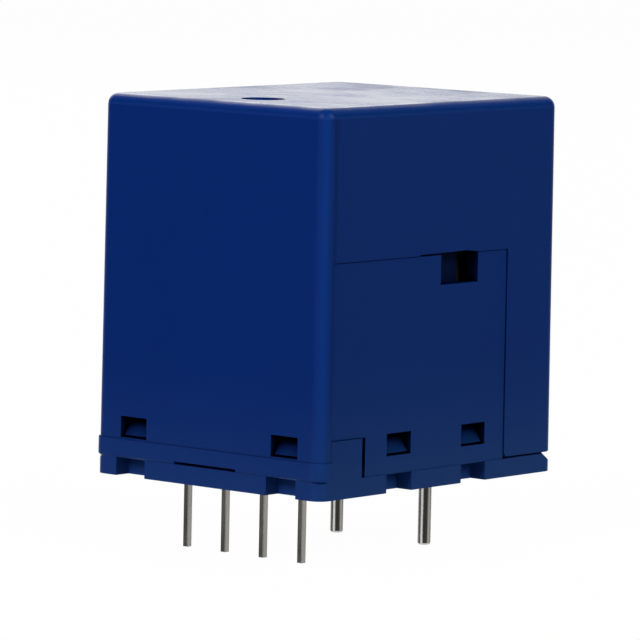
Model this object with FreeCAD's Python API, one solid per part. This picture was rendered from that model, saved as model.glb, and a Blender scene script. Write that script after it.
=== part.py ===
import FreeCAD, Part
import math
import os

# Board mounted Hall effect current sensor, sizes in millimetres.
# The origin is the centre of the base plate's underside, with Z up and the pins below Z = 0.
# The front wall faces -Y, over the row of signal pins. The right wall faces +X.

V = FreeCAD.Vector
X_AXIS = V(1, 0, 0)
Y_AXIS = V(0, 1, 0)
Z_AXIS = V(0, 0, 1)

# Housing
body_width = 22.4
body_depth = 27.7
body_height = 28.8
draft_slope = math.tan(math.radians(0.25))
wall = 1.2
roof = 1.2
corner_radius = 1.0
inner_corner_radius = 0.35
top_edge_radius = 0.85
fit = 0.05

# How far cutters run past what they cut, and how far they reach inside a wall
overrun = 1.0
wall_reach = 0.7

# Foot of the cap
rim_height = 1.4
band_height = 1.4
band_proud = 0.14
band_foot_chamfer = 0.12
foot_slot_length = 6.1
foot_slot_height = 0.24
roof_rib_thickness = 1.0
dimple_radius = 1.65
dimple_depth = 0.25
dimple_x = 0.75
dimple_setback = 4.85

# Cut-out in the right wall, and the plate that closes it
cutout_front_margin = 1.2
cutout_rear_margin = 6.15
cutout_top = 17.45
cutout_peak_rise = 0.16
cutout_slit_height = 0.09
cutout_slit_ramp = 0.12
cutout_peak_lead = 2.7
cutout_peak_setback = 1.5
cutout_foot_radius = 0.45
foot_gap = 0.16
foot_gap_reach = 0.6
panel_recess = 0.09
panel_lip_overlap = 0.8
panel_lip_thickness = 0.65
panel_lip_root = 0.8
panel_lip_above_latch = 0.9
opening_to_rear = 3.5
opening_length = 4.4
opening_depth = 2.3
opening_lip_margin = 0.6

# Snap windows and latches: distances from the corners or from the cut-out's ends, then sizes,
# with heights above the seating face
front_latch_from_left = 3.92
front_latch_from_right = 3.55
side_latch_from_front = 7.87
side_latch_from_rear = 3.7
front_window_width = 2.6
front_window_sill = 2.93
front_window_height = 1.62
side_window_width = 2.82
side_window_sill = 2.75
side_window_height = 1.68
latch_clearance = 0.1
latch_setback = 1.4
latch_thickness = 0.9
hook_face = 0.35
hook_lift = 0.16
latch_above_hook = 0.9
front_notch_shift = -0.26
front_notch_extra_width = 0.27
side_notch_shift = 0.0
side_notch_extra_width = 0.1

# Base plate
rim_tip_chamfer = 0.2
strip_tip_chamfer = 0.55
plinth_height = 1.2
plinth_clearance = 0.1
key_length = 3.5
key_height = 2.95
key_side_gap = 0.45
key_back_clearance = 0.05
key_fit = 0.02

# Signal pins, square wire bent from the board down through the base plate
signal_pin_count = 4
signal_pin_pitch = 3.81
signal_pin_side = 0.45
signal_pin_hole_clearance = 0.1
signal_row_from_left = 4.16
signal_row_setback = 6.05
pin_length_below = 5.8
signal_pin_bend_radius = 0.45
signal_pin_above_board_foot = 2.0

# Primary wire and its former
wire_diameter = 1.02
enamel_thickness = 0.03
enamel_taper = 0.6
primary_pitch = 8.8
primary_turns = 5
primary_row_setback = 7.16
coil_to_signal_pins = 3.79
coil_above_plinth = 1.81
wire_corner_radius = 1.25
bend_chords = 2
wire_hole_clearance = 0.14
wire_lay_clearance = 0.03
wire_tip_radius = 0.2

# Magnetic core: a ring of stacked laminations in two halves, with one gap in its top limb
core_limb = 3.6
core_to_roof = 2.7
core_gap = 1.6
core_chamfer = 0.5

# Moulded former
former_wall = 0.7
former_clearance = 0.08
former_flange = 0.7
former_flange_margin = 0.45
former_coil_margin = 0.12
former_to_wall = 0.17
former_arm_width = 3.5
former_arm_thickness = 0.6
former_arm_below_core_top = 5.9
former_tray = 0.7

# Circuit board
board_thickness = 1.2
board_to_wall = 0.9
board_above_plinth = 0.8
board_to_roof = 1.6
board_to_pin_row = 0.8
board_hole_clearance = 0.08
pin_protrusion = 0.45
solder_radius = 0.75
solder_height = 0.4
solder_collar = 0.04
post_width = 1.9
post_overhang = 0.6
post_grip = 0.45
post_below_solder = 0.2
post_slot_clearance = 0.06

# Hall element
hall_height = 3.4
hall_depth = 3.0
hall_thickness = 0.95
hall_lead_count = 4
hall_lead_pitch = 0.9
hall_lead_width = 0.35
hall_lead_thickness = 0.25
hall_solder_radius = 0.38

# Amplifier
amplifier_length = 4.9
amplifier_width = 3.9
amplifier_thickness = 1.45
amplifier_standoff = 0.15
amplifier_lead_pitch = 1.27
amplifier_lead_width = 0.4
amplifier_lead_thickness = 0.2
amplifier_lead_reach = 1.05
amplifier_lead_foot = 0.58
amplifier_from_left_edge = 4.5
amplifier_above_board_foot = 10.6

# Voltage reference
reference_length = 2.9
reference_width = 1.3
reference_thickness = 1.0
reference_lead_pitch = 1.9
reference_lead_reach = 0.6
reference_lead_foot = 0.33
reference_from_right_edge = 3.5
reference_above_board_foot = 9.2

# Chip parts, each as length, width, thickness
capacitor_size = (3.2, 1.6, 1.3)
resistor_size = (2.0, 1.25, 0.5)
cap_end_length = 0.4
cap_end_proud = 0.04
chip_pitch = 2.6
chip_from_edge = 1.9
capacitor_count = 3
capacitor_pitch = 3.9
capacitor_from_left_edge = 3.7
low_row_above_board_foot = 5.8
middle_row_above_board_foot = 13.2
high_row_above_board_foot = 15.6

# Worked out from the sizes above
half_width = body_width / 2
half_depth = body_depth / 2
cap_foot = rim_height
plinth_top = rim_height + plinth_height
cutout_front = -half_depth + cutout_front_margin
cutout_rear = half_depth - cutout_rear_margin
opening_rear = cutout_rear - opening_to_rear
opening_front = opening_rear - opening_length
opening_sill = cutout_top - opening_depth
front_latch_places = (-half_width + front_latch_from_left, half_width - front_latch_from_right)
side_latch_places = (cutout_front + side_latch_from_front, cutout_rear - side_latch_from_rear)
signal_row_start = -half_width + signal_row_from_left
signal_row_y = -half_depth + signal_row_setback
wire_radius = wire_diameter / 2
enamel_radius = wire_radius + enamel_thickness
wire_offset = enamel_radius + wire_lay_clearance
former_shell = former_wall + former_clearance
primary_row_y = half_depth - primary_row_setback
coil_front_y = signal_row_y + coil_to_signal_pins
coil_bottom = plinth_top + coil_above_plinth + enamel_radius
core_foot = coil_bottom + wire_offset + former_shell
core_top = body_height - roof - core_to_roof
coil_top = core_foot + core_limb + former_shell + wire_offset
core_stack = primary_row_y - coil_front_y - 2 * (wire_offset + former_shell)
core_centre_y = (primary_row_y + coil_front_y) / 2
barrel_half_y = core_stack / 2 + former_shell
barrel_half_x = primary_pitch / 2 + enamel_radius + former_coil_margin
flange_half_x = barrel_half_x + former_flange
arm_outer_x = half_width - wall - former_to_wall
core_half_width = arm_outer_x - former_arm_thickness - former_clearance
core_window_half = flange_half_x + former_clearance
core_side_limb = core_half_width - core_window_half
board_foot = plinth_top + board_above_plinth
board_top = body_height - roof - board_to_roof
board_half_x = half_width - wall - board_to_wall
board_rear_y = signal_row_y - board_to_pin_row
board_front_y = board_rear_y - board_thickness
signal_pin_level = board_foot + signal_pin_above_board_foot
hall_z = core_top - core_limb / 2


def box(x0, x1, y0, y1, z0, z1):
    """A box between two corners."""
    return Part.makeBox(x1 - x0, y1 - y0, z1 - z0, V(x0, y0, z0))


def prism(points, direction):
    """A closed outline pushed along a direction."""
    return Part.Face(Part.makePolygon(points + [points[0]])).extrude(direction)


def upright_edges(shape):
    """The edges that run from bottom to top."""
    found = []
    for edge in shape.Edges:
        low, high = sorted(vertex.Z for vertex in edge.Vertexes)
        if high - low > 0.5 * shape.BoundBox.ZLength:
            found.append(edge)
    return found


def drafted_block(inset, z0, z1, radius):
    """The housing's outline, set in by inset, leaning in with height, with rounded corners."""
    rings = []
    for z in (z0, z1):
        lean = inset + draft_slope * (z - cap_foot)
        x = half_width - lean
        y = half_depth - lean
        rings.append([V(-x, -y, z), V(x, -y, z), V(x, y, z), V(-x, y, z)])
    low, high = rings
    outlines = [low[::-1], high]
    for here, following in ((0, 1), (1, 2), (2, 3), (3, 0)):
        outlines.append([low[here], low[following], high[following], high[here]])
    faces = [Part.Face(Part.makePolygon(outline + [outline[0]])) for outline in outlines]
    block = Part.Solid(Part.makeShell(faces))
    return block.makeFillet(radius, upright_edges(block))


def on_wall(shape, wall_name):
    """Move a shape drawn on a wall's own axes (X along it, Y inward, Z up) to that wall."""
    turn = {"front": 0, "right": 90, "rear": 180, "left": 270}[wall_name]
    half = half_depth if wall_name in ("front", "rear") else half_width
    moved = shape.copy()
    moved.translate(V(0, -half, 0))
    moved.rotate(V(0, 0, 0), Z_AXIS, turn)
    return moved


def latch_sizes(wall_name):
    """Places, window width, sill height and window height on one wall."""
    if wall_name in ("front", "rear"):
        return front_latch_places, front_window_width, front_window_sill, front_window_height
    return side_latch_places, side_window_width, side_window_sill, side_window_height


def snap_windows(wall_name):
    """The cutters of one wall's snap windows."""
    places, width, sill, height = latch_sizes(wall_name)
    cutters = []
    for place in places:
        cutter = box(place - width / 2, place + width / 2, -overrun, wall + wall_reach,
                     sill, sill + height)
        cutters.append(on_wall(cutter, wall_name))
    return cutters


def latch_notches(wall_name):
    """The cutters of the base plate's notches, which leave the hooks' undersides open."""
    places, width, sill, height = latch_sizes(wall_name)
    if wall_name in ("front", "rear"):
        shift, extra = front_notch_shift, front_notch_extra_width
    else:
        shift, extra = side_notch_shift, side_notch_extra_width
    half = (width + extra) / 2
    cutters = []
    for place in places:
        centre = place + shift
        cutter = box(centre - half, centre + half, -overrun, latch_setback,
                     -overrun, plinth_top + overrun)
        cutters.append(on_wall(cutter, wall_name))
    return cutters


def latches(wall_name):
    """The upstanding latches of one wall, each with a sloped hook that fills its window."""
    places, width, sill, height = latch_sizes(wall_name)
    half = width / 2 - latch_clearance
    hook_foot = sill + hook_lift
    hook_top = sill + height
    tongues = []
    for place in places:
        outline = [
            V(place - half, latch_setback, rim_height / 2),
            V(place - half, latch_setback, hook_foot),
            V(place - half, hook_face, hook_foot),
            V(place - half, latch_setback, hook_top),
            V(place - half, latch_setback, hook_top + latch_above_hook),
            V(place - half, latch_setback + latch_thickness, hook_top + latch_above_hook),
            V(place - half, latch_setback + latch_thickness, rim_height / 2),
        ]
        tongues.append(on_wall(prism(outline, V(2 * half, 0, 0)), wall_name))
    return tongues


def wall_band(y0, y1, z0, z1):
    """A block across the thickness of the right wall."""
    return box(half_width - wall - wall_reach, half_width + overrun, y0, y1, z0, z1)


def right_wall_cutout():
    """The cut-out in the cap's right wall, with the shallow gap under the strip behind it."""
    x0 = half_width - wall - wall_reach
    low = cap_foot - overrun
    strip_foot = cap_foot + foot_gap
    radius = cutout_foot_radius
    strip_start = cutout_rear + radius
    arc_mid = V(
        x0,
        cutout_rear + radius * (1 - math.sqrt(0.5)),
        strip_foot + radius * (1 - math.sqrt(0.5)),
    )
    corners = [
        V(x0, strip_start, low),
        V(x0, cutout_front, low),
        V(x0, cutout_front, cutout_top),
        V(x0, opening_front - cutout_peak_lead, cutout_top),
        V(x0, opening_front - cutout_peak_lead + cutout_slit_ramp, cutout_top + cutout_slit_height),
        V(x0, opening_rear - cutout_peak_setback, cutout_top + cutout_peak_rise),
        V(x0, opening_rear + fit, cutout_top),
        V(x0, cutout_rear, cutout_top),
        V(x0, cutout_rear, strip_foot + radius),
    ]
    edges = [Part.makeLine(a, b) for a, b in zip(corners, corners[1:])]
    foot_start = V(x0, strip_start, strip_foot)
    edges.append(Part.Arc(corners[-1], arc_mid, foot_start).toShape())
    edges.append(Part.makeLine(foot_start, corners[0]))
    opening = Part.Face(Part.Wire(edges)).extrude(V(wall_reach + wall + overrun, 0, 0))
    gap = box(half_width - foot_gap_reach, half_width + overrun, cutout_rear, half_depth + overrun,
              low, strip_foot)
    return opening.fuse(gap)


def make_cap():
    """The five-sided housing."""
    outer = drafted_block(0, cap_foot, body_height, corner_radius)
    top_edges = [edge for edge in outer.Edges if edge.BoundBox.ZMin > body_height - fit]
    outer = outer.makeFillet(top_edge_radius, top_edges)
    band = drafted_block(-band_proud, cap_foot, cap_foot + band_height, corner_radius + band_proud)
    foot_edges = [edge for edge in band.Edges if edge.BoundBox.ZMax < cap_foot + fit]
    band = band.makeChamfer(band_foot_chamfer, foot_edges)
    reach = half_width + band_proud + overrun
    band = band.common(box(-reach, reach, -half_depth - overrun, cutout_front, 0, body_height))
    cap = outer.fuse(band)
    cavity = drafted_block(wall, cap_foot - overrun, body_height - roof, inner_corner_radius)
    slot = box(-foot_slot_length / 2, foot_slot_length / 2, -half_depth - overrun,
               -half_depth + wall + wall_reach, cap_foot - overrun, cap_foot + foot_slot_height)
    dimple = Part.makeCylinder(dimple_radius, dimple_depth + overrun,
                               V(dimple_x, -half_depth + dimple_setback, body_height - dimple_depth))
    cutters = [cavity, slot, dimple, right_wall_cutout()]
    for wall_name in ("front", "rear", "left"):
        cutters += snap_windows(wall_name)
    cap = cap.cut(cutters)
    ribs = []
    for side in (-1, 1):
        x = side * (core_half_width - core_side_limb / 2)
        ribs.append(box(x - roof_rib_thickness / 2, x + roof_rib_thickness / 2,
                        core_centre_y - core_stack / 2, core_centre_y + core_stack / 2,
                        core_top + fit, body_height - roof / 2))
    return cap.fuse(ribs).removeSplitter()


def make_side_panel():
    """The plate in the right wall's cut-out, with its lips behind the wall."""
    skin = drafted_block(panel_recess, cap_foot - overrun, body_height, corner_radius)
    cavity = drafted_block(wall, cap_foot - 2 * overrun, body_height + overrun, inner_corner_radius)
    front = cutout_front + fit
    rear = cutout_rear - fit
    top = cutout_top - fit
    plate = skin.cut(cavity).common(wall_band(front, rear, rim_height, top))
    lip_front = front + inner_corner_radius + fit
    lip_rear = rear + panel_lip_overlap
    lip_top = top + panel_lip_overlap
    lip_foot_top = top - panel_lip_root
    side_hook_top = side_window_sill + side_window_height
    lip_foot = side_hook_top + latch_above_hook + panel_lip_above_latch
    lip_ranges = (
        (lip_front, opening_front - opening_lip_margin, lip_foot_top, lip_top),
        (opening_rear + opening_lip_margin, lip_rear, lip_foot_top, lip_top),
        (rear - panel_lip_root, lip_rear, lip_foot, lip_top),
    )
    inner_x = half_width - wall - draft_slope * (lip_top - cap_foot) - fit
    pieces = []
    for y0, y1, z0, z1 in lip_ranges:
        pieces.append(box(inner_x - panel_lip_thickness, inner_x, y0, y1, z0, z1))
    root_x = half_width - wall + fit
    pieces.append(box(inner_x - fit, root_x, lip_front, opening_front - opening_lip_margin,
                      lip_foot_top, top))
    pieces.append(box(inner_x - fit, root_x, opening_rear + opening_lip_margin, rear,
                      lip_foot_top, top))
    pieces.append(box(inner_x - fit, root_x, rear - panel_lip_root, rear, lip_foot, top))
    panel = plate.fuse(pieces)
    key_space = wall_band(front - overrun, cutout_front + key_fit + key_length + key_side_gap, 0,
                          rim_height + key_height + key_fit)
    opening = wall_band(opening_front, opening_rear, opening_sill, cutout_top + overrun)
    return panel.cut([key_space, opening] + snap_windows("right")).removeSplitter()


def rim_tips():
    """The sloped cutters that ease the rim's corners at the top, most where the gap runs out."""
    half = corner_radius + overrun
    top = rim_height + overrun
    cutters = []
    for side_x in (-1, 1):
        for side_y in (-1, 1):
            size = strip_tip_chamfer if side_x > 0 and side_y > 0 else rim_tip_chamfer
            outline = [
                V(corner_radius - size - overrun, -half, top),
                V(corner_radius + overrun, -half, rim_height - size - overrun),
                V(corner_radius + overrun, -half, top),
            ]
            cutter = prism(outline, V(0, 2 * half, 0))
            cutter.rotate(V(0, 0, 0), Z_AXIS, math.degrees(math.atan2(side_y, side_x)))
            cutter.translate(V(side_x * (half_width - corner_radius),
                               side_y * (half_depth - corner_radius), 0))
            cutters.append(cutter)
    return cutters


def make_base_plate():
    """The plate below the cap, with latches, key, board posts and pin holes."""
    rim = box(-half_width, half_width, -half_depth, half_depth, 0, rim_height)
    rim = rim.makeFillet(corner_radius, upright_edges(rim)).cut(rim_tips())
    plinth_x = half_width - wall - plinth_clearance
    plinth_y = half_depth - wall - plinth_clearance
    plinth = box(-plinth_x, plinth_x, -plinth_y, plinth_y, rim_height / 2, plinth_top)
    plinth = plinth.makeChamfer(inner_corner_radius, upright_edges(plinth))
    solids = [plinth]
    key_x0 = half_width - wall + key_back_clearance
    key = box(key_x0, half_width, cutout_front + key_fit, cutout_front + key_fit + key_length,
              rim_height / 2, rim_height + key_height)
    solids.append(key)
    for side in (-1, 1):
        x_outer = side * (board_half_x + post_overhang)
        x_inner = x_outer - side * post_width
        post = box(min(x_outer, x_inner), max(x_outer, x_inner),
                   board_front_y - post_grip, board_rear_y + post_grip,
                   rim_height, signal_pin_level - solder_radius - post_below_solder)
        slot = box(-board_half_x - post_slot_clearance, board_half_x + post_slot_clearance,
                   board_front_y - post_slot_clearance, board_rear_y + post_slot_clearance,
                   board_foot, body_height)
        solids.append(post.cut(slot))
    base = rim.fuse(solids)
    cutters = []
    for wall_name in ("front", "right", "rear", "left"):
        cutters += latch_notches(wall_name)
    base = base.cut(cutters)
    tongues = []
    for wall_name in ("front", "right", "rear", "left"):
        tongues += latches(wall_name)
    base = base.fuse(tongues)
    holes = []
    hole_half = signal_pin_side / 2 + signal_pin_hole_clearance
    for x in signal_pin_places():
        holes.append(box(x - hole_half, x + hole_half, signal_row_y - hole_half,
                         signal_row_y + hole_half, -overrun, plinth_top + overrun))
    for side in (-1, 1):
        holes.append(Part.makeCylinder(enamel_radius + wire_hole_clearance,
                                       plinth_top + 2 * overrun,
                                       V(side * primary_pitch / 2, primary_row_y, -overrun)))
    return base.cut(holes).removeSplitter()


def signal_pin_places():
    """Where the signal pins stand along X."""
    return [signal_row_start + signal_pin_pitch * index for index in range(signal_pin_count)]


def make_signal_pin(x):
    """A square pin: out of the board towards the rear, round one bend, and down."""
    side = signal_pin_side
    mid_radius = signal_pin_bend_radius
    start_y = board_front_y - pin_protrusion
    bend = V(x, signal_row_y - mid_radius, signal_pin_level - mid_radius)
    level = box(x - side / 2, x + side / 2, start_y, bend.y,
                signal_pin_level - side / 2, signal_pin_level + side / 2)
    drop = box(x - side / 2, x + side / 2, signal_row_y - side / 2, signal_row_y + side / 2,
               -pin_length_below, bend.z)
    section = Part.Face(Part.makePolygon([
        V(x - side / 2, bend.y, signal_pin_level - side / 2),
        V(x + side / 2, bend.y, signal_pin_level - side / 2),
        V(x + side / 2, bend.y, signal_pin_level + side / 2),
        V(x - side / 2, bend.y, signal_pin_level + side / 2),
        V(x - side / 2, bend.y, signal_pin_level - side / 2),
    ]))
    elbow = section.revolve(bend, X_AXIS, -90)
    return level.fuse([elbow, drop]).removeSplitter()


def bent_path(points, radius):
    """Straight runs through the points, each corner eased by short chords round its radius."""
    path = [points[0]]
    for before, corner, after in zip(points, points[1:], points[2:]):
        into = (before - corner).normalize()
        out = (after - corner).normalize()
        half_angle = into.getAngle(out) / 2
        step = (math.pi - 2 * half_angle) / bend_chords
        centre = corner + (into + out).normalize() * (radius / math.sin(half_angle))
        outward = (corner + into * (radius / math.tan(half_angle)) - centre).normalize()
        reach = radius / math.cos(step / 2)
        for index in range(bend_chords):
            turn = step * (index + 0.5)
            path.append(centre + outward * (reach * math.cos(turn)) - into * (reach * math.sin(turn)))
    path.append(points[-1])
    return Part.makePolygon(path)


def wire_route():
    """The corners of the enamelled wire, from above the seating face round the core and back."""
    step = primary_pitch / primary_turns
    x = -primary_pitch / 2
    points = [V(x, primary_row_y, enamel_taper)]
    for turn in range(primary_turns):
        points.append(V(x, primary_row_y, coil_top))
        points.append(V(x, coil_front_y, coil_top))
        points.append(V(x, coil_front_y, coil_bottom))
        x += step
        points.append(V(x, primary_row_y, coil_bottom))
    points.append(V(x, primary_row_y, enamel_taper))
    return points


def make_primary_winding():
    """One enamelled wire round the core's bottom limb, its two bare ends the primary pins."""
    route = wire_route()
    section = Part.Wire(Part.makeCircle(enamel_radius, route[0], Z_AXIS))
    mitred_corners = 1
    wire = bent_path(route, wire_corner_radius).makePipeShell([section], True, True, mitred_corners)
    ends = []
    for side in (-1, 1):
        x = side * primary_pitch / 2
        pin = Part.makeCylinder(wire_radius, pin_length_below, V(x, primary_row_y, -pin_length_below))
        tip_edges = [edge for edge in pin.Edges if edge.BoundBox.ZMax < -pin_length_below + fit]
        ends.append(pin.makeFillet(wire_tip_radius, tip_edges))
        ends.append(Part.makeCone(wire_radius, enamel_radius, enamel_taper, V(x, primary_row_y, 0)))
    return wire.fuse(ends)


def make_core_half(side):
    """Half of the laminated ring, cut at the gap above and at the butt joint below."""
    y0 = core_centre_y - core_stack / 2
    outer = box(0, core_half_width, y0, y0 + core_stack, core_foot, core_top)
    corners = [edge for edge in outer.Edges
               if abs(edge.tangentAt(edge.FirstParameter).y) > 0.9 and edge.BoundBox.XMin > core_gap]
    outer = outer.makeChamfer(core_chamfer, corners)
    window = box(-overrun, core_window_half, y0 - overrun, y0 + core_stack + overrun,
                 core_foot + core_limb, core_top - core_limb)
    gap = box(-overrun, core_gap / 2, y0 - overrun, y0 + core_stack + overrun,
              core_top - core_limb - overrun, core_top + overrun)
    half = outer.cut([window, gap])
    if side < 0:
        half = half.mirror(V(0, 0, 0), X_AXIS)
    return half


def make_coil_former():
    """The former: a square barrel with two flanges, feet, trays and arms that hold the core."""
    y_mid = core_centre_y
    barrel = box(-flange_half_x, flange_half_x, y_mid - barrel_half_y, y_mid + barrel_half_y,
                 core_foot - former_shell, core_foot + core_limb + former_shell)
    barrel_edges = [edge for edge in barrel.Edges
                    if abs(edge.tangentAt(edge.FirstParameter).x) > 0.9]
    barrel = barrel.makeFillet(former_wall, barrel_edges)
    flange_half_y = barrel_half_y + wire_offset + enamel_radius + former_flange_margin
    flange_top = coil_top + enamel_radius + former_flange_margin
    tray_top = core_foot - former_clearance
    solids = []
    for side in (-1, 1):
        flange = box(barrel_half_x, flange_half_x, y_mid - flange_half_y, y_mid + flange_half_y,
                     plinth_top, flange_top)
        tray = box(barrel_half_x, arm_outer_x, y_mid - former_arm_width / 2,
                   y_mid + former_arm_width / 2, tray_top - former_tray, tray_top)
        arm = box(arm_outer_x - former_arm_thickness, arm_outer_x, y_mid - former_arm_width / 2,
                  y_mid + former_arm_width / 2, tray_top - former_tray,
                  core_top - former_arm_below_core_top)
        group = flange.fuse([tray, arm])
        if side < 0:
            group = group.mirror(V(0, 0, 0), X_AXIS)
        solids.append(group)
    former = barrel.fuse(solids)
    tunnel = box(-half_width, half_width, y_mid - core_stack / 2 - former_clearance,
                 y_mid + core_stack / 2 + former_clearance, tray_top,
                 core_foot + core_limb + former_clearance)
    tunnel = tunnel.common(box(-core_window_half, core_window_half, -half_depth, half_depth,
                               0, body_height))
    return former.cut(tunnel).removeSplitter()


def hall_lead_levels():
    """Heights of the Hall element's leads."""
    first = hall_z - hall_lead_pitch * (hall_lead_count - 1) / 2
    return [first + hall_lead_pitch * index for index in range(hall_lead_count)]


def make_circuit_board():
    """The upright board, with holes for the pins and for the Hall element's leads."""
    board = box(-board_half_x, board_half_x, board_front_y, board_rear_y, board_foot, board_top)
    holes = []
    pin_hole = signal_pin_side / 2 * math.sqrt(2) + board_hole_clearance
    for x in signal_pin_places():
        holes.append(Part.makeCylinder(pin_hole, board_thickness + 2 * overrun,
                                       V(x, board_front_y - overrun, signal_pin_level), Y_AXIS))
    lead_hole = math.hypot(hall_lead_width, hall_lead_thickness) / 2 + board_hole_clearance
    for z in hall_lead_levels():
        holes.append(Part.makeCylinder(lead_hole, board_thickness + 2 * overrun,
                                       V(0, board_front_y - overrun, z), Y_AXIS))
    return board.cut(holes)


def make_hall_element():
    """The four-lead element that stands in the core's gap, its leads soldered in the board."""
    y0 = core_centre_y - hall_depth / 2
    body = box(-hall_thickness / 2, hall_thickness / 2, y0, y0 + hall_depth,
               hall_z - hall_height / 2, hall_z + hall_height / 2)
    leads = []
    for z in hall_lead_levels():
        leads.append(box(-hall_lead_thickness / 2, hall_lead_thickness / 2,
                         board_front_y - pin_protrusion, y0 + hall_depth / 2,
                         z - hall_lead_width / 2, z + hall_lead_width / 2))
    return body.fuse(leads).removeSplitter()


def gull_lead(reach, foot, height, thickness, width):
    """One lead on the board's face: out of the body, down and along (X out, Z off the board)."""
    knee = reach - foot
    outline = [
        V(-thickness, 0, height - thickness / 2),
        V(knee - thickness, 0, height - thickness / 2),
        V(knee - thickness, 0, 0),
        V(reach, 0, 0),
        V(reach, 0, thickness),
        V(knee, 0, thickness),
        V(knee, 0, height + thickness / 2),
        V(-thickness, 0, height + thickness / 2),
    ]
    lead = prism(outline, V(0, width, 0))
    lead.translate(V(0, -width / 2, 0))
    return lead


def on_board(shape, x, z):
    """Lay a shape drawn flat (Z off the board, Y up) on the board's front face."""
    laid = shape.copy()
    laid.rotate(V(0, 0, 0), X_AXIS, 90)
    laid.translate(V(x, board_front_y, z))
    return laid


def make_amplifier_ic():
    """The eight-lead amplifier."""
    length = amplifier_length
    width = amplifier_width
    top = amplifier_standoff + amplifier_thickness
    body = box(-width / 2, width / 2, -length / 2, length / 2, amplifier_standoff, top)
    leads = []
    for row in range(4):
        y = amplifier_lead_pitch * (row - 1.5)
        lead = gull_lead(amplifier_lead_reach, amplifier_lead_foot, top / 2,
                         amplifier_lead_thickness, amplifier_lead_width)
        lead.translate(V(width / 2, y, 0))
        leads.append(lead)
        leads.append(lead.mirror(V(0, 0, 0), X_AXIS))
    return on_board(body.fuse(leads).removeSplitter(), -board_half_x + amplifier_from_left_edge,
                    board_foot + amplifier_above_board_foot)


def make_voltage_reference():
    """The three-lead voltage reference."""
    top = amplifier_standoff + reference_thickness
    body = box(-reference_width / 2, reference_width / 2, -reference_length / 2,
               reference_length / 2, amplifier_standoff, top)
    leads = []
    for side, y in ((1, -reference_lead_pitch / 2), (1, reference_lead_pitch / 2), (-1, 0)):
        lead = gull_lead(reference_lead_reach, reference_lead_foot, top / 2,
                         amplifier_lead_thickness, amplifier_lead_width)
        lead.translate(V(reference_width / 2, y, 0))
        if side < 0:
            lead = lead.mirror(V(0, 0, 0), X_AXIS)
        leads.append(lead)
    return on_board(body.fuse(leads).removeSplitter(), board_half_x - reference_from_right_edge,
                    board_foot + reference_above_board_foot)


def capacitor_places():
    """Where the capacitors stand on the board, as X and Z."""
    first = -board_half_x + capacitor_from_left_edge
    z = board_foot + low_row_above_board_foot
    return [(first + capacitor_pitch * index, z) for index in range(capacitor_count)]


def resistor_places():
    """Where the resistors stand on the board, as X and Z."""
    outer_x = board_half_x - chip_from_edge
    inner_x = outer_x - chip_pitch
    middle = board_foot + middle_row_above_board_foot
    high = board_foot + high_row_above_board_foot
    return [(-outer_x, high), (-inner_x, high), (inner_x, high), (outer_x, high),
            (inner_x, middle), (outer_x, middle)]


def make_chip(size, x, z):
    """A ceramic chip part with its two metal ends."""
    length, width, thickness = size
    body = box(-length / 2, length / 2, -width / 2, width / 2, cap_end_proud,
               thickness - cap_end_proud)
    ends = []
    for side in (-1, 1):
        inner = side * (length / 2 - cap_end_length)
        outer = side * length / 2
        ends.append(box(min(inner, outer), max(inner, outer), -width / 2 - cap_end_proud,
                        width / 2 + cap_end_proud, 0, thickness))
    return on_board(body.fuse(ends).removeSplitter(), x, z)


def solder_cone(radius, lead_half_x, lead_half_z, x, z):
    """A solder joint on the board's front face, round one square lead."""
    cone = Part.makeCone(radius, math.hypot(lead_half_x, lead_half_z) + solder_collar,
                         solder_height, V(x, board_front_y, z), V(0, -1, 0))
    lead = box(x - lead_half_x, x + lead_half_x, board_front_y - overrun,
               board_front_y + overrun, z - lead_half_z, z + lead_half_z)
    return cone.cut(lead)


def make_solder_joints():
    """The solder round each signal pin and each lead of the Hall element."""
    joints = []
    for x in signal_pin_places():
        joints.append(solder_cone(solder_radius, signal_pin_side / 2, signal_pin_side / 2,
                                  x, signal_pin_level))
    for z in hall_lead_levels():
        joints.append(solder_cone(hall_solder_radius, hall_lead_thickness / 2,
                                  hall_lead_width / 2, 0, z))
    return Part.makeCompound(joints)


def make_parts():
    """Every piece, by its name."""
    parts = {
        "cap": make_cap(),
        "side_panel": make_side_panel(),
        "base_plate": make_base_plate(),
        "coil_former": make_coil_former(),
        "core_left": make_core_half(-1),
        "core_right": make_core_half(1),
        "primary_winding": make_primary_winding(),
        "circuit_board": make_circuit_board(),
        "hall_element": make_hall_element(),
        "amplifier_ic": make_amplifier_ic(),
        "voltage_reference": make_voltage_reference(),
        "solder_joints": make_solder_joints(),
    }
    for index, x in enumerate(signal_pin_places(), start=1):
        parts[f"secondary_pin_{index}"] = make_signal_pin(x)
    for index, (x, z) in enumerate(capacitor_places(), start=1):
        parts[f"capacitor_{index}"] = make_chip(capacitor_size, x, z)
    for index, (x, z) in enumerate(resistor_places(), start=1):
        parts[f"resistor_{index}"] = make_chip(resistor_size, x, z)
    return parts


os.makedirs("parts", exist_ok=True)
for name, shape in make_parts().items():
    shape.exportStep(f"parts/{name}.step")
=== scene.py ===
"""Looks of a board mounted Hall effect current sensor: a deep blue snapped housing on tinned pins."""

import math

import bpy
from mathutils import Matrix, Vector


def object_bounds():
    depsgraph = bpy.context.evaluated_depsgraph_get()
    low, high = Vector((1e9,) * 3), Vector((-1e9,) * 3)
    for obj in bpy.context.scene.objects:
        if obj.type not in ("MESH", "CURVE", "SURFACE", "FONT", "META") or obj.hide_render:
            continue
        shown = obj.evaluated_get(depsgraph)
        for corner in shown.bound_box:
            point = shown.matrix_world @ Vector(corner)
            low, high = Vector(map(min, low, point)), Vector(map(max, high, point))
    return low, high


MM = 0.001
WHITE = (1, 1, 1)
BLACK = (0, 0, 0)

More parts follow.
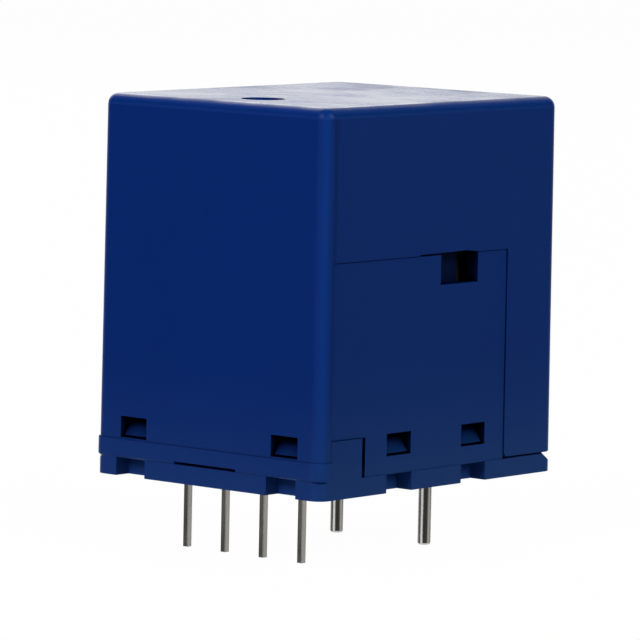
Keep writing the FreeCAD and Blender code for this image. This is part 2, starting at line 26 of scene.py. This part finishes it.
# Camera, as the photograph was taken: angles in degrees
CAMERA_AZIMUTH = 40.25
CAMERA_DOWN = 5.86
CAMERA_ROLL = 1.196
CAMERA_DISTANCE = 413.9 * MM
CAMERA_AIM = Vector((-1.264, 0.472, 11.465)) * MM
CAMERA_CLIP = (0.01, 10)
SENSOR = 36.0
FOCAL_PIXELS = 5423.7
IMAGE_PIXELS = 640.0

# Screens that reflections see: heading from +X towards +Y in degrees, brightness and tint there
WARM = (1, 0.98, 0.93)
COOL = (0.97, 0.99, 1.03)
SCREENS = ((-150, 0.22, WARM), (-134, 0.1, WARM), (-121, 0.1, WARM), (-115, 1.3, COOL),
           (-88, 1.3, COOL), (-76, 0.06, WARM), (2, 0.06, WARM), (12, 0.55, WARM),
           (58, 0.55, WARM), (66, 0.1, WARM))

# Upward share of a direction where the screens begin to fade, and where they are gone
SCREEN_TOP = (0.02, 0.15)

# White backdrop behind the part: its heading, then how far from it the white begins and is full
BACKDROP_HEADING = 130.25
BACKDROP_EDGE = (56, 44)

# Upward share of a direction below which all is white, and where that white ends
WHITE_BELOW = (-0.75, -0.45)

# Room light on matt surfaces, and the floor: its glow to the camera, its grey and its half side
ROOM_LEVEL = 0.03
FLOOR_CAMERA_SHARE = 0.985
FLOOR_GREY = (0.7, 0.7, 0.7)
FLOOR_HALF = 2.0

# Lamps: heading and rise in degrees, side in metres, power in watts and colour
LAMP_DISTANCE = 0.6
LAMPS = (("front_lamp", -90, 32, 0.26, 2.85, WHITE),
         ("right_lamp", 4, 32, 0.26, 2.85, (0.93, 0.97, 0.73)),
         ("back_lamp", 150, 38, 0.55, 1.8, WHITE))

# Noise textures: scale and detail, then roughness and stretch where these aren't plain
BODY_DRIFT = (260, 3, 0.6, (1, 1, 0.25))
TOP_MOTTLE = (150, 4, 0.62, (0.8, 1, 1))
BODY_SMEAR = (700, 2)
BODY_PITS = (3000, 2)
TIN_STREAKS = (2200, 3, 0.6, (1, 1, 0.12))
TIN_PITS = (5200, 2, 0.6, (1, 1, 0.4))
PLASTIC_DRIFT = (260, 3)
PLASTIC_SMEAR = (900, 2)
PLASTIC_PITS = (4200, 2)

# Range of a noise texture that holds most of its values
NOISE_RANGE = (0.3, 0.7)

# Largest share of a normal along one axis: on a flat wall, and on an edge fully turned from it
EDGE_TURN = (1.0, 0.8)

# Share of a normal along Z where a surface counts as level, and along X as a side wall
LEVEL_FROM = (0.6, 0.99)
SIDE_WALL_FROM = (0.98, 0.99)

# Housing colours: body, painted highlight on rounded edges, a darker line beside the near corner,
# line under the top, painted bounce light on the foot and painted shade in deep recesses
BODY_BLUES = ((0.0003, 0.0142, 0.116), (0.0006, 0.0166, 0.130))
EDGE_HIGHLIGHT_BLUE = (0.004, 0.034, 0.22)
CORNER_LINE_BLUE = (0.0002, 0.0085, 0.075)
TOP_LINE_BLUE = (0.03, 0.09, 0.36)
FOOT_BOUNCE_BLUE = (0.0058, 0.0268, 0.132)
RECESS_SHADE_BLUE = (0, 0.0005, 0.004)

# Heights where the polished top begins and is full, and between which the foot pales with painted
# bounce light from the floor
POLISH_FROM = (28.2 * MM, 28.6 * MM)
FOOT_BOUNCE = (11.0 * MM, 0.4 * MM)

# Housing lines, by centre and half width: beside the near corner along Y, under the top along Z
CORNER_LINE = (-12.65 * MM, 0.2 * MM)
CORNER_LINE_SHARE = 0.6
TOP_LINE = (28.08 * MM, 0.1 * MM)
TOP_LINE_SHARE = 0.08

# Housing gloss: walls, level ledges, and the top where its mottling is low and high
HOUSING_IOR = 1.24
WALL_SPECULAR = 0.2
LEDGE_SPECULAR = 0.02
HOUSING_ROUGHNESS = (0.34, 0.40)
HOUSING_GRAIN = (0.15, 0.01 * MM)
MOTTLE_RANGE = (0.4, 0.62)
TOP_SPECULAR = (1, 0.45)
TOP_ROUGHNESS_SHARE = (0.3, 1)

# Recesses, darkened with painted shade: heights between which they darken, and how far the shading
# looks round
RECESS_FROM = (1.6 * MM, 2.4 * MM)
RECESS_TO = (22.0 * MM, 21.0 * MM)
RECESS_REACH = 2.6 * MM
RECESS_SAMPLES = 12

# Open share of a deep recess, and how much of its colour the painted shade leaves there
RECESS_SHUT = 0.36
RECESS_LEAST = 0.02

# Tinned metal: colour, roughness and its spread, softened edges, and the winding's enamel
TIN_COLOUR = (0.66, 0.65, 0.62)
TIN_DULL_SHARE = 0.6
TIN_ROUGHNESS = 0.2
TIN_SPREAD = 0.07
TIN_EDGE = 0.09 * MM
TIN_EDGE_SAMPLES = 6
TIN_GRAIN = 0.35
ENAMEL_COLOUR = (0.42, 0.13, 0.05)
ENAMEL_FROM = (1.2 * MM, 1.6 * MM)

# Other pieces: how far a moulded one's roughness wanders, and how deep their grain is
GLOSS_SPREAD = 0.04
GRAIN_DEPTH = 0.02 * MM

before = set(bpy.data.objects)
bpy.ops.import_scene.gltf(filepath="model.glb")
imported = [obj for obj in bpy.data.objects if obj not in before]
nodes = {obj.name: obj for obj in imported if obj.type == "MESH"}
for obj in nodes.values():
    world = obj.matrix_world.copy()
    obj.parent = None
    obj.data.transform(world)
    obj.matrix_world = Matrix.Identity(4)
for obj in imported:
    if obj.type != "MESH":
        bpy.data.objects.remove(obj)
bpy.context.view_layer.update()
scene = bpy.context.scene


def new_material(name):
    """A node material, with its nodes and links."""
    material = bpy.data.materials.new(name)
    material.use_nodes = True
    return material, material.node_tree.nodes, material.node_tree.links


def mapped_noise(tree_nodes, links, scale, detail, roughness=0.5, stretch=(1, 1, 1)):
    """A noise texture in the part's own coordinates."""
    coordinates = tree_nodes.new("ShaderNodeTexCoord")
    mapping = tree_nodes.new("ShaderNodeMapping")
    mapping.inputs["Scale"].default_value = stretch
    noise = tree_nodes.new("ShaderNodeTexNoise")
    noise.inputs["Scale"].default_value = scale
    noise.inputs["Detail"].default_value = detail
    noise.inputs["Roughness"].default_value = roughness
    links.new(coordinates.outputs["Object"], mapping.inputs["Vector"])
    links.new(mapping.outputs["Vector"], noise.inputs["Vector"])
    return noise.outputs["Fac"]


def ramp(tree_nodes, links, source, low, high, low_value, high_value):
    """Maps a value range to another, clamped."""
    node = tree_nodes.new("ShaderNodeMapRange")
    node.inputs["From Min"].default_value = low
    node.inputs["From Max"].default_value = high
    node.inputs["To Min"].default_value = low_value
    node.inputs["To Max"].default_value = high_value
    links.new(source, node.inputs["Value"])
    return node.outputs["Result"]


def bump(tree_nodes, links, height, strength, distance):
    """A bump node from a height value, its distance in metres."""
    node = tree_nodes.new("ShaderNodeBump")
    node.inputs["Strength"].default_value = strength
    node.inputs["Distance"].default_value = distance
    links.new(height, node.inputs["Height"])
    return node


def colour_mix(tree_nodes, links, factor, first, second):
    """Mixes two colours, each a fixed colour or a socket, by a factor socket."""
    mix = tree_nodes.new("ShaderNodeMix")
    mix.data_type = "RGBA"
    links.new(factor, mix.inputs["Factor"])
    for name, value in (("A", first), ("B", second)):
        if isinstance(value, tuple):
            mix.inputs[name].default_value = (*value, 1)
        else:
            links.new(value, mix.inputs[name])
    return mix.outputs["Result"]


def joined(tree_nodes, links, operation, first, second):
    """Two values joined by a math operation."""
    node = tree_nodes.new("ShaderNodeMath")
    node.operation = operation
    links.new(first, node.inputs[0])
    links.new(second, node.inputs[1])
    return node.outputs["Value"]


def product(tree_nodes, links, first, second):
    """Two values multiplied."""
    return joined(tree_nodes, links, "MULTIPLY", first, second)


def highest_of(tree_nodes, links, first, second):
    """The higher of two values."""
    return joined(tree_nodes, links, "MAXIMUM", first, second)


def thin_line(tree_nodes, links, source, centre, half):
    """1 in a thin line across an axis, 0 beside it."""
    node = tree_nodes.new("ShaderNodeMath")
    node.operation = "COMPARE"
    links.new(source, node.inputs[0])
    node.inputs[1].default_value = centre
    node.inputs[2].default_value = half
    return node.outputs["Value"]


def part_place(tree_nodes, links):
    """The place in the part, as its X, Y and Z."""
    coordinates = tree_nodes.new("ShaderNodeTexCoord")
    place = tree_nodes.new("ShaderNodeSeparateXYZ")
    links.new(coordinates.outputs["Object"], place.inputs[0])
    return place.outputs


def surface_facts(tree_nodes, links, height):
    """How far a surface turns off the axes, and where it is level, the top or a side wall."""
    geometry = tree_nodes.new("ShaderNodeNewGeometry")
    size = tree_nodes.new("ShaderNodeVectorMath")
    size.operation = "ABSOLUTE"
    links.new(geometry.outputs["Normal"], size.inputs[0])
    parts = tree_nodes.new("ShaderNodeSeparateXYZ")
    links.new(size.outputs["Vector"], parts.inputs[0])
    highest = highest_of(tree_nodes, links, parts.outputs["X"], parts.outputs["Y"])
    highest = highest_of(tree_nodes, links, highest, parts.outputs["Z"])
    turned = ramp(tree_nodes, links, highest, *EDGE_TURN, 0, 1)
    high = ramp(tree_nodes, links, height, *POLISH_FROM, 0, 1)
    level = ramp(tree_nodes, links, parts.outputs["Z"], *LEVEL_FROM, 0, 1)
    top = product(tree_nodes, links, level, high)
    side_wall = ramp(tree_nodes, links, parts.outputs["X"], *SIDE_WALL_FROM, 0, 1)
    return turned, level, top, side_wall


def moulded_plastic(name, dark, light, roughness, ior, grain):
    """Moulded plastic: slight colour drift, fine grain and uneven gloss."""
    material, tree_nodes, links = new_material(name)
    shader = tree_nodes["Principled BSDF"]
    shader.inputs["IOR"].default_value = ior
    drift = mapped_noise(tree_nodes, links, *PLASTIC_DRIFT)
    links.new(colour_mix(tree_nodes, links, drift, dark, light), shader.inputs["Base Color"])
    gloss = mapped_noise(tree_nodes, links, *PLASTIC_SMEAR)
    links.new(ramp(tree_nodes, links, gloss, *NOISE_RANGE, roughness - GLOSS_SPREAD,
                   roughness + GLOSS_SPREAD), shader.inputs["Roughness"])
    pits = mapped_noise(tree_nodes, links, *PLASTIC_PITS)
    links.new(bump(tree_nodes, links, pits, grain, GRAIN_DEPTH).outputs["Normal"],
              shader.inputs["Normal"])
    return material


def painted_recess_shade(tree_nodes, links, height, open_from):
    """Painted shade: 1 on open walls, towards 0 deep in the windows and gaps above the foot."""
    open_share = tree_nodes.new("ShaderNodeAmbientOcclusion")
    open_share.samples = RECESS_SAMPLES
    open_share.inputs["Distance"].default_value = RECESS_REACH
    shade = ramp(tree_nodes, links, open_share.outputs["AO"], RECESS_SHUT, open_from,
                 RECESS_LEAST, 1)
    below = ramp(tree_nodes, links, height, *RECESS_FROM, 1, 0)
    above = ramp(tree_nodes, links, height, *RECESS_TO, 1, 0)
    return highest_of(tree_nodes, links, shade, highest_of(tree_nodes, links, below, above))


def housing_plastic(name, edge_highlight, open_from):
    """The blue plastic. A painted highlight lightens its edges, and walls less open than open_from
    are darkened with painted shade.
    """
    material, tree_nodes, links = new_material(name)
    shader = tree_nodes["Principled BSDF"]
    shader.inputs["IOR"].default_value = HOUSING_IOR
    place = part_place(tree_nodes, links)
    turned, level, top, side_wall = surface_facts(tree_nodes, links, place["Z"])
    drift = mapped_noise(tree_nodes, links, *BODY_DRIFT)
    colour = colour_mix(tree_nodes, links, drift, *BODY_BLUES)
    # Painted highlight: rounded edges lighten towards the edge blue, by the given share
    edge = ramp(tree_nodes, links, turned, 0, 1, 0, edge_highlight)
    colour = colour_mix(tree_nodes, links, edge, colour, EDGE_HIGHLIGHT_BLUE)
    # A darker line on the side wall beside the near corner
    corner_line = thin_line(tree_nodes, links, place["Y"], *CORNER_LINE)
    corner_line = ramp(tree_nodes, links, product(tree_nodes, links, corner_line, side_wall),
                       0, 1, 0, CORNER_LINE_SHARE if edge_highlight else 0)
    colour = colour_mix(tree_nodes, links, corner_line, colour, CORNER_LINE_BLUE)
    top_line = thin_line(tree_nodes, links, place["Z"], *TOP_LINE)
    top_line = ramp(tree_nodes, links, top_line, 0, 1, 0, TOP_LINE_SHARE)
    colour = colour_mix(tree_nodes, links, top_line, colour, TOP_LINE_BLUE)
    # Painted bounce light: the foot pales towards the foot blue as if lit from the floor below
    foot_bounce = ramp(tree_nodes, links, place["Z"], *FOOT_BOUNCE, 0, 1)
    foot_bounce = product(tree_nodes, links, foot_bounce, foot_bounce)
    colour = colour_mix(tree_nodes, links, foot_bounce, colour, FOOT_BOUNCE_BLUE)
    # Painted shade: walls in windows and gaps above the foot darken towards the recess blue
    shade = painted_recess_shade(tree_nodes, links, place["Z"], open_from)
    links.new(colour_mix(tree_nodes, links, shade, RECESS_SHADE_BLUE, colour),
              shader.inputs["Base Color"])
    mottle = mapped_noise(tree_nodes, links, *TOP_MOTTLE)
    top_gloss = ramp(tree_nodes, links, mottle, *MOTTLE_RANGE, *TOP_SPECULAR)
    wall_gloss = ramp(tree_nodes, links, level, 0, 1, WALL_SPECULAR, LEDGE_SPECULAR)
    gloss = highest_of(tree_nodes, links, wall_gloss, product(tree_nodes, links, top, top_gloss))
    # The painted shade also dims the gloss in recesses
    links.new(product(tree_nodes, links, gloss, shade), shader.inputs["Specular IOR Level"])
    smear = mapped_noise(tree_nodes, links, *BODY_SMEAR)
    rough = ramp(tree_nodes, links, smear, *NOISE_RANGE, *HOUSING_ROUGHNESS)
    worn = ramp(tree_nodes, links, mottle, *MOTTLE_RANGE, *TOP_ROUGHNESS_SHARE)
    polish = colour_mix(tree_nodes, links, top, WHITE, worn)
    links.new(product(tree_nodes, links, rough, polish), shader.inputs["Roughness"])
    pits = mapped_noise(tree_nodes, links, *BODY_PITS)
    links.new(bump(tree_nodes, links, pits, *HOUSING_GRAIN).outputs["Normal"],
              shader.inputs["Normal"])
    return material


def tinned_metal(name, enamelled):
    """Tinned metal with fine drawn streaks, and coloured enamel above the foot if it has any."""
    material, tree_nodes, links = new_material(name)
    shader = tree_nodes["Principled BSDF"]
    shader.inputs["Metallic"].default_value = 1
    streaks = mapped_noise(tree_nodes, links, *TIN_STREAKS)
    dull = tuple(share * TIN_DULL_SHARE for share in TIN_COLOUR)
    colour = colour_mix(tree_nodes, links, streaks, dull, TIN_COLOUR)
    if enamelled:
        coated = ramp(tree_nodes, links, part_place(tree_nodes, links)["Z"], *ENAMEL_FROM, 0, 1)
        colour = colour_mix(tree_nodes, links, coated, colour, ENAMEL_COLOUR)
    links.new(colour, shader.inputs["Base Color"])
    links.new(ramp(tree_nodes, links, streaks, *NOISE_RANGE, TIN_ROUGHNESS - TIN_SPREAD,
                   TIN_ROUGHNESS + TIN_SPREAD), shader.inputs["Roughness"])
    soft_edges = tree_nodes.new("ShaderNodeBevel")
    soft_edges.samples = TIN_EDGE_SAMPLES
    soft_edges.inputs["Radius"].default_value = TIN_EDGE
    pits = mapped_noise(tree_nodes, links, *TIN_PITS)
    grain = bump(tree_nodes, links, pits, TIN_GRAIN, GRAIN_DEPTH)
    links.new(soft_edges.outputs["Normal"], grain.inputs["Normal"])
    links.new(grain.outputs["Normal"], shader.inputs["Normal"])
    return material


# Each material, its colours from dark to light, then its roughness, IOR and grain
# The housing: the share of its painted edge highlight, then the open share below which walls get
# painted shade
housing = housing_plastic("housing_plastic", 0.35, 0.6)
plate = housing_plastic("plate_plastic", 0, 0.92)
former = moulded_plastic("former_plastic", (0.0002, 0.0035, 0.027), (0.0003, 0.0045, 0.033),
                         0.5, 1.1, 0.2)
core = moulded_plastic("core_varnish", (0.004, 0.004, 0.005), (0.01, 0.01, 0.011), 0.45, 1.4, 0.3)
tin = tinned_metal("tin", False)
wire = tinned_metal("wire", True)
board = moulded_plastic("board", (0.004, 0.06, 0.02), (0.006, 0.09, 0.03), 0.3, 1.45, 0.2)
package = moulded_plastic("package", (0.012, 0.012, 0.013), (0.02, 0.02, 0.021), 0.5, 1.45, 0.4)
ceramic = moulded_plastic("ceramic", (0.30, 0.19, 0.09), (0.38, 0.25, 0.13), 0.5, 1.45, 0.2)

# Materials by the start of a node's name, where the longest start that fits is taken
MATERIALS = {
    "cap": housing, "side_panel": plate, "base_plate": plate, "coil_former": former,
    "core": core, "primary_winding": wire, "secondary_pin": tin, "solder_joints": tin,
    "circuit_board": board, "hall_element": package, "amplifier_ic": package,
    "voltage_reference": package, "resistor": package, "capacitor": ceramic,
}
for name, node in nodes.items():
    kind = max((start for start in MATERIALS if name.startswith(start)), key=len)
    node.data.materials.clear()
    node.data.materials.append(MATERIALS[kind])


def add_camera():
    """The camera, placed round its aim by azimuth and elevation, then rolled."""
    azimuth = math.radians(CAMERA_AZIMUTH)
    down = math.radians(CAMERA_DOWN)
    forward = Vector((-math.sin(azimuth) * math.cos(down), math.cos(azimuth) * math.cos(down),
                      -math.sin(down)))
    right = Vector((math.cos(azimuth), math.sin(azimuth), 0))
    up = right.cross(forward)
    roll = math.radians(CAMERA_ROLL)
    rolled_right = right * math.cos(roll) + up * math.sin(roll)
    rolled_up = up * math.cos(roll) - right * math.sin(roll)
    data = bpy.data.cameras.new("camera")
    data.sensor_width = SENSOR
    data.lens = FOCAL_PIXELS / IMAGE_PIXELS * SENSOR
    data.clip_start, data.clip_end = CAMERA_CLIP
    camera = bpy.data.objects.new("camera", data)
    scene.collection.objects.link(camera)
    turn = Matrix((rolled_right, rolled_up, -forward)).transposed().to_4x4()
    camera.matrix_world = Matrix.Translation(CAMERA_AIM - forward * CAMERA_DISTANCE) @ turn
    scene.camera = camera


def heading(degrees):
    """A level direction, by its angle from +X towards +Y."""
    angle = math.radians(degrees)
    return Vector((math.cos(angle), math.sin(angle), 0))


def add_lamp(name, degrees, elevation, size, power, colour):
    """A square soft lamp that faces the part."""
    data = bpy.data.lights.new(name, "AREA")
    data.size = size
    data.energy = power
    data.color = colour
    lamp = bpy.data.objects.new(name, data)
    scene.collection.objects.link(lamp)
    rise = math.radians(elevation)
    place = (heading(degrees) * math.cos(rise) + Vector((0, 0, math.sin(rise)))) * LAMP_DISTANCE
    lamp.location = place + CAMERA_AIM
    lamp.rotation_euler = (-place).to_track_quat("-Z", "Y").to_euler()


def studio_light(tree_nodes, links):
    """What reflections show: the backdrop, the screens up to the horizon and white underneath."""
    direction = tree_nodes.new("ShaderNodeTexCoord").outputs["Generated"]
    rise = tree_nodes.new("ShaderNodeSeparateXYZ")
    links.new(direction, rise.inputs[0])
    turn = tree_nodes.new("ShaderNodeTexGradient")
    turn.gradient_type = "RADIAL"
    links.new(direction, turn.inputs["Vector"])
    screens = tree_nodes.new("ShaderNodeValToRGB")
    links.new(turn.outputs["Fac"], screens.inputs["Fac"])
    # A new colour ramp has two stops already
    stops = screens.color_ramp.elements
    for number, (degrees, level, tint) in enumerate(SCREENS):
        stop = stops[number] if number < 2 else stops.new(1)
        stop.position = degrees / 360 + 0.5
        stop.color = (*[level * share for share in tint], 1)
    fade = ramp(tree_nodes, links, rise.outputs["Z"], *SCREEN_TOP, 1, 0)
    colour = colour_mix(tree_nodes, links, fade, BLACK, screens.outputs["Color"])
    flat = tree_nodes.new("ShaderNodeVectorMath")
    flat.operation = "MULTIPLY"
    flat.inputs[1].default_value = (1, 1, 0)
    links.new(direction, flat.inputs[0])
    unit = tree_nodes.new("ShaderNodeVectorMath")
    unit.operation = "NORMALIZE"
    links.new(flat.outputs["Vector"], unit.inputs[0])
    dot = tree_nodes.new("ShaderNodeVectorMath")
    dot.operation = "DOT_PRODUCT"
    dot.inputs[1].default_value = heading(BACKDROP_HEADING)
    links.new(unit.outputs["Vector"], dot.inputs[0])
    begins, full = (math.cos(math.radians(angle)) for angle in BACKDROP_EDGE)
    backdrop = ramp(tree_nodes, links, dot.outputs["Value"], begins, full, 0, 1)
    colour = colour_mix(tree_nodes, links, backdrop, colour, COOL)
    below = ramp(tree_nodes, links, rise.outputs["Z"], *WHITE_BELOW, 1, 0)
    return colour_mix(tree_nodes, links, below, colour, WHITE)


def add_floor():
    """A white floor, clear from below. Reflections pass it and show the studio instead."""
    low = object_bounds()[0][2]
    mesh = bpy.data.meshes.new("floor")
    corners = ((-1, -1), (1, -1), (1, 1), (-1, 1))
    mesh.from_pydata([(x * FLOOR_HALF, y * FLOOR_HALF, low) for x, y in corners],
                     [], [(0, 1, 2, 3)])
    floor = bpy.data.objects.new("floor", mesh)
    scene.collection.objects.link(floor)
    floor.visible_glossy = False
    material, tree_nodes, links = new_material("floor_white")
    shader = tree_nodes["Principled BSDF"]
    shader.inputs["Base Color"].default_value = (*FLOOR_GREY, 1)
    shader.inputs["Roughness"].default_value = 1
    shader.inputs["Specular IOR Level"].default_value = 0
    path = tree_nodes.new("ShaderNodeLightPath")
    share = ramp(tree_nodes, links, path.outputs["Is Camera Ray"], 0, 1, 0, FLOOR_CAMERA_SHARE)
    share = highest_of(tree_nodes, links, share, path.outputs["Is Transmission Ray"])
    glow = tree_nodes.new("ShaderNodeEmission")
    glow.inputs["Strength"].default_value = 1
    mix = tree_nodes.new("ShaderNodeMixShader")
    links.new(share, mix.inputs["Fac"])
    links.new(shader.outputs["BSDF"], mix.inputs[1])
    links.new(glow.outputs["Emission"], mix.inputs[2])
    side = tree_nodes.new("ShaderNodeNewGeometry")
    clear = tree_nodes.new("ShaderNodeBsdfTransparent")
    one_sided = tree_nodes.new("ShaderNodeMixShader")
    links.new(side.outputs["Backfacing"], one_sided.inputs["Fac"])
    links.new(mix.outputs["Shader"], one_sided.inputs[1])
    links.new(clear.outputs["BSDF"], one_sided.inputs[2])
    links.new(one_sided.outputs["Shader"], tree_nodes["Material Output"].inputs["Surface"])
    mesh.materials.append(material)


def add_world():
    """White to the camera and through glass, the studio to reflections, dim to everything else."""
    world = bpy.data.worlds.new("world")
    world.use_nodes = True
    scene.world = world
    tree_nodes, links = world.node_tree.nodes, world.node_tree.links
    path = tree_nodes.new("ShaderNodeLightPath")
    white = highest_of(tree_nodes, links, path.outputs["Is Camera Ray"],
                       path.outputs["Is Transmission Ray"])
    plain = colour_mix(tree_nodes, links, white, (ROOM_LEVEL, ROOM_LEVEL, ROOM_LEVEL), WHITE)
    links.new(colour_mix(tree_nodes, links, path.outputs["Is Glossy Ray"], plain,
                         studio_light(tree_nodes, links)),
              tree_nodes["Background"].inputs["Color"])


add_camera()
for lamp_values in LAMPS:
    add_lamp(*lamp_values)
add_floor()
add_world()
scene.view_settings.view_transform = "Standard"
